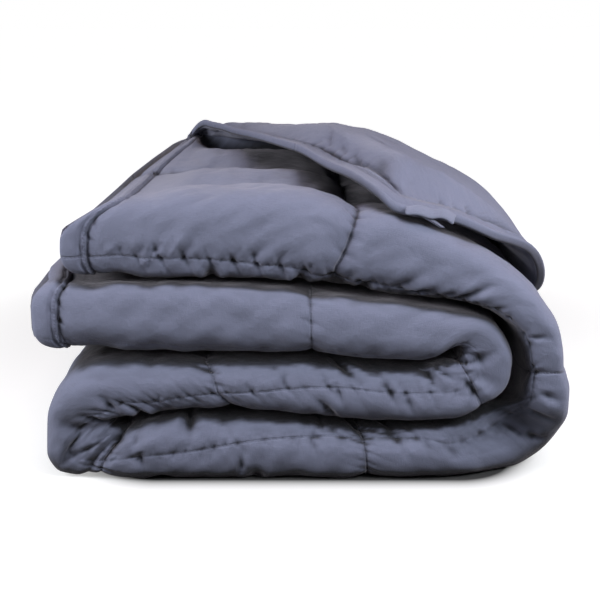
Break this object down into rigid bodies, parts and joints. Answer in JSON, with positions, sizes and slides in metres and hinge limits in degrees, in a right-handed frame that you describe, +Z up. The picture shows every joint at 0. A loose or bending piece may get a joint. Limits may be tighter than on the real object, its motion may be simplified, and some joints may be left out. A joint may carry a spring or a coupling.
{
  "type": "weighted blanket",
  "caption": "Quilted weighted blanket with a piped hem, folded in half across and twice along, with one top ply turned back over itself.",
  "frame": {"origin": "on the surface it lies on, below the middle of its box", "axes": "+X to the right along the folded layers, +Y from the front fold back to the long hems, +Z up"},
  "size_m": [0.5197, 0.6009, 0.3028],
  "materials": {
    "slate_cotton": "matte woven cotton",
    "slate_tape": "matte cotton tape"
  },
  "bodies": {
    "root": {"blanket": "slate_cotton", "tie_loop": "slate_tape"}
  },
  "joints": []
}
